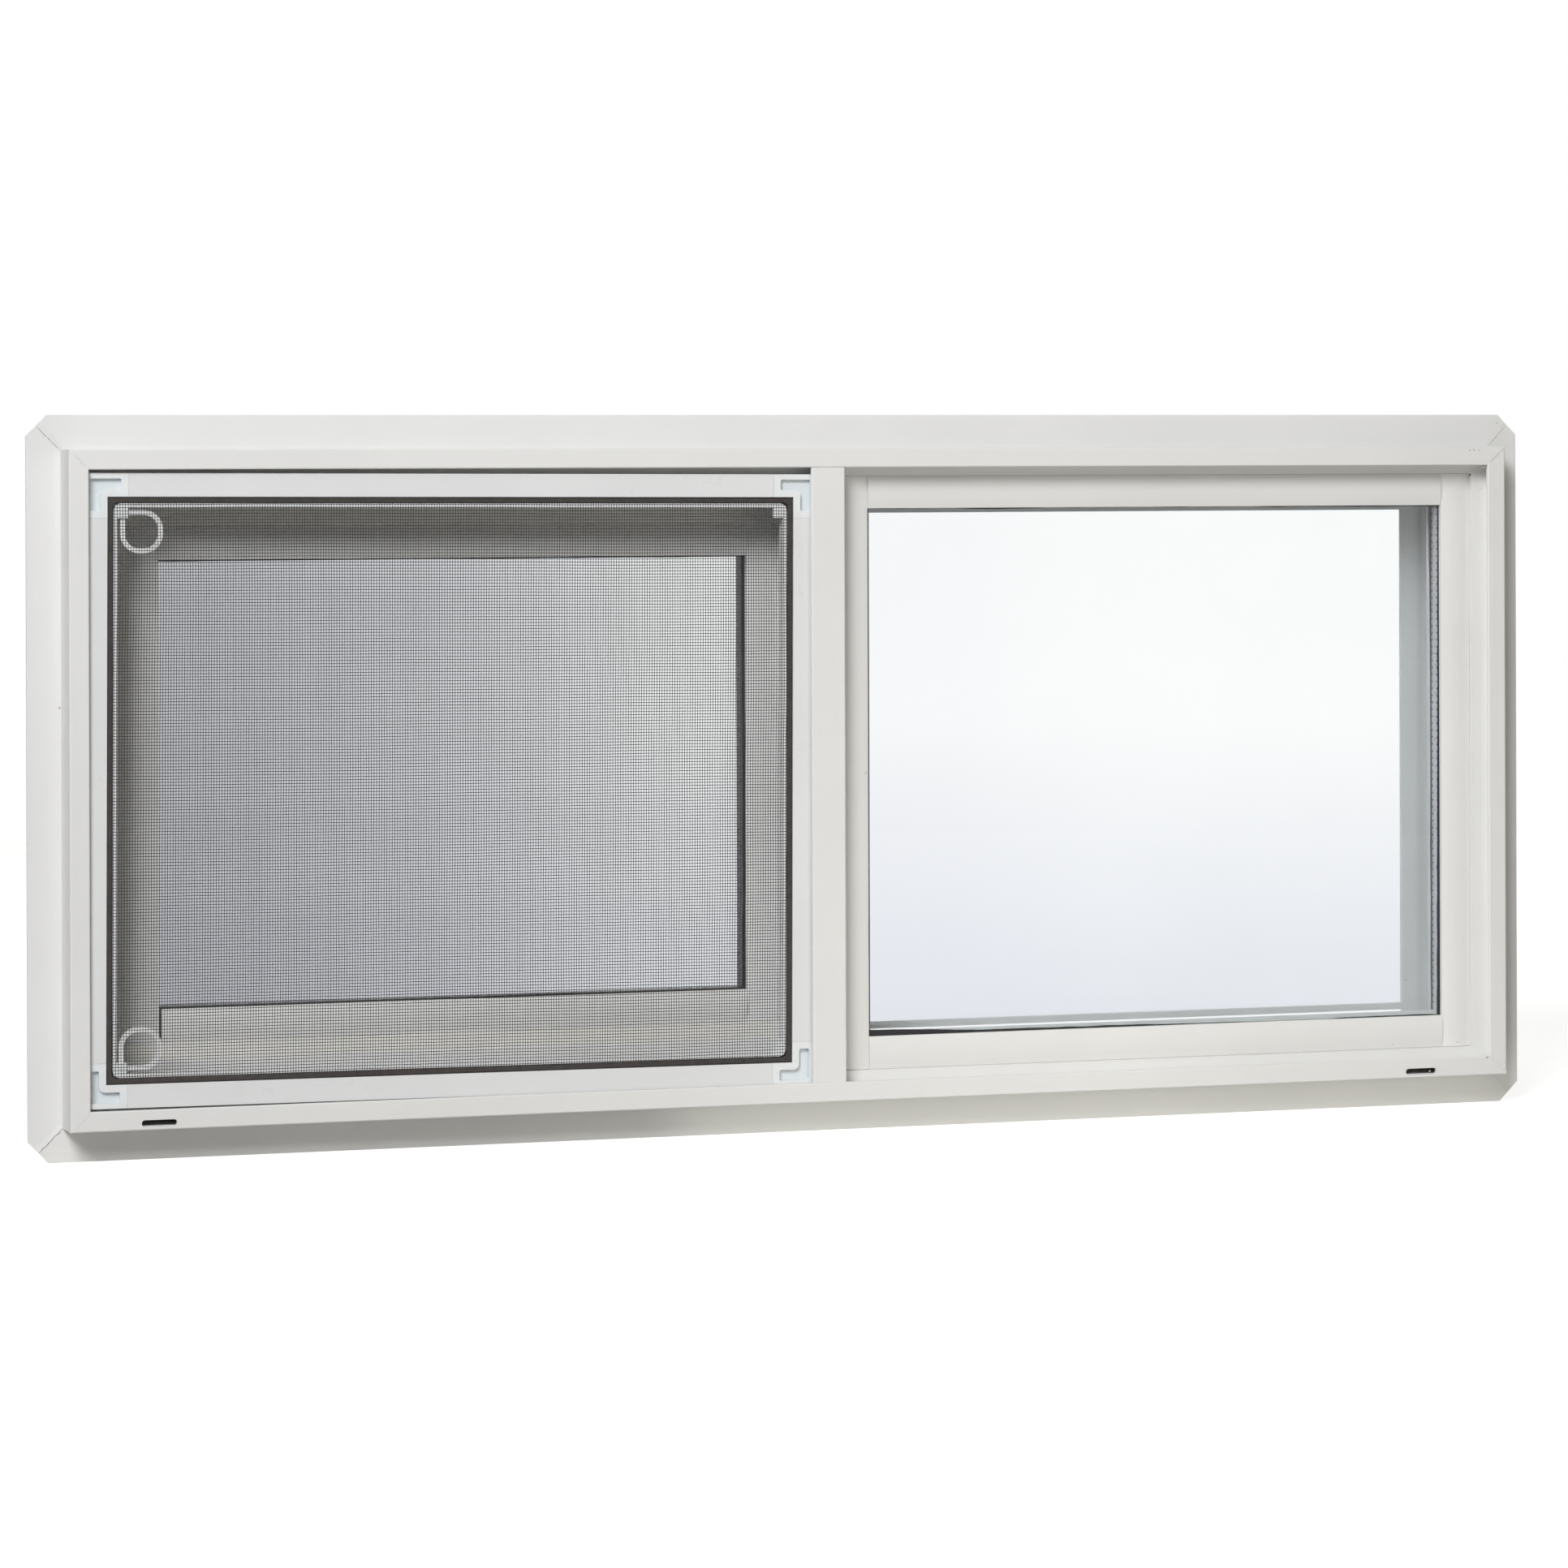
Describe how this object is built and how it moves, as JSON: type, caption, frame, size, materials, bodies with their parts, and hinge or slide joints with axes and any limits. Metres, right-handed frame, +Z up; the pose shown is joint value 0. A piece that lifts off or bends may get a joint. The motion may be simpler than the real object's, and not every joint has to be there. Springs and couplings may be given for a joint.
{
  "type": "horizontal sliding window",
  "caption": "White vinyl horizontal sliding window with a nailing fin, a fixed double pane, a sliding sash and an insect screen over it.",
  "frame": {"origin": "on the back face of the nailing fin, at the middle of the sill's fin", "axes": "+X along the sill to the right as seen from outdoors, +Y indoors, +Z up"},
  "size_m": [0.842, 0.0741, 0.3849],
  "materials": {
    "frame_vinyl": "white extruded vinyl, satin",
    "sash_vinyl": "white extruded vinyl, satin",
    "bead_vinyl": "white extruded vinyl, satin, slightly crowned",
    "track_vinyl": "white extruded vinyl, rubbed along the rib",
    "pane_glass": "clear float glass",
    "spacer_metal": "mill aluminium with two rows of breather holes",
    "edge_seal": "black sealant",
    "glazing_tape": "black glazing tape with an uneven edge",
    "screen_bar_paint": "white baked enamel on rolled aluminium",
    "screen_key_plastic": "white moulded plastic, slightly bluish",
    "screen_spline": "dark brown-black cord, dusty",
    "screen_mesh": "charcoal coated glass-fibre insect mesh",
    "pull_plastic": "white moulded plastic",
    "glide_nylon": "natural nylon",
    "latch_plastic": "white moulded plastic"
  },
  "bodies": {
    "frame": {"frame_head": "frame_vinyl", "frame_sill": "frame_vinyl", "frame_left_jamb": "frame_vinyl", "frame_right_jamb": "frame_vinyl", "mullion": "frame_vinyl", "sill_track": "track_vinyl", "fixed_bead_top": "bead_vinyl", "fixed_bead_bottom": "bead_vinyl", "fixed_bead_left": "bead_vinyl", "fixed_bead_right": "bead_vinyl", "fixed_outer_pane": "pane_glass", "fixed_inner_pane": "pane_glass", "fixed_spacer": "spacer_metal", "fixed_edge_seal": "edge_seal", "fixed_glazing_tape": "glazing_tape", "screen_bar_top": "screen_bar_paint", "screen_bar_bottom": "screen_bar_paint", "screen_bar_left": "screen_bar_paint", "screen_bar_right": "screen_bar_paint", "screen_corner_top_left": "screen_key_plastic", "screen_corner_top_right": "screen_key_plastic", "screen_corner_bottom_left": "screen_key_plastic", "screen_corner_bottom_right": "screen_key_plastic", "screen_spline": "screen_spline", "screen_mesh": "screen_mesh", "screen_pull_upper": "pull_plastic", "screen_pull_lower": "pull_plastic"},
    "sash": {"sash_bead_top": "bead_vinyl", "sash_bead_bottom": "bead_vinyl", "sash_bead_left": "bead_vinyl", "sash_bead_right": "bead_vinyl", "sash_outer_pane": "pane_glass", "sash_inner_pane": "pane_glass", "sash_spacer": "spacer_metal", "sash_edge_seal": "edge_seal", "sash_glazing_tape": "glazing_tape", "sash_top_rail": "sash_vinyl", "sash_bottom_rail": "sash_vinyl", "sash_pull_stile": "sash_vinyl", "sash_meeting_stile": "sash_vinyl", "sash_glides": "glide_nylon", "sash_latch": "latch_plastic", "sash_latch_lever": "latch_plastic"}
  },
  "joints": [
    {"name": "sash_slide", "type": "slide", "parent": "frame", "child": "sash", "axis": [1, 0, 0], "range_m": [0, 0.375]}
  ]
}
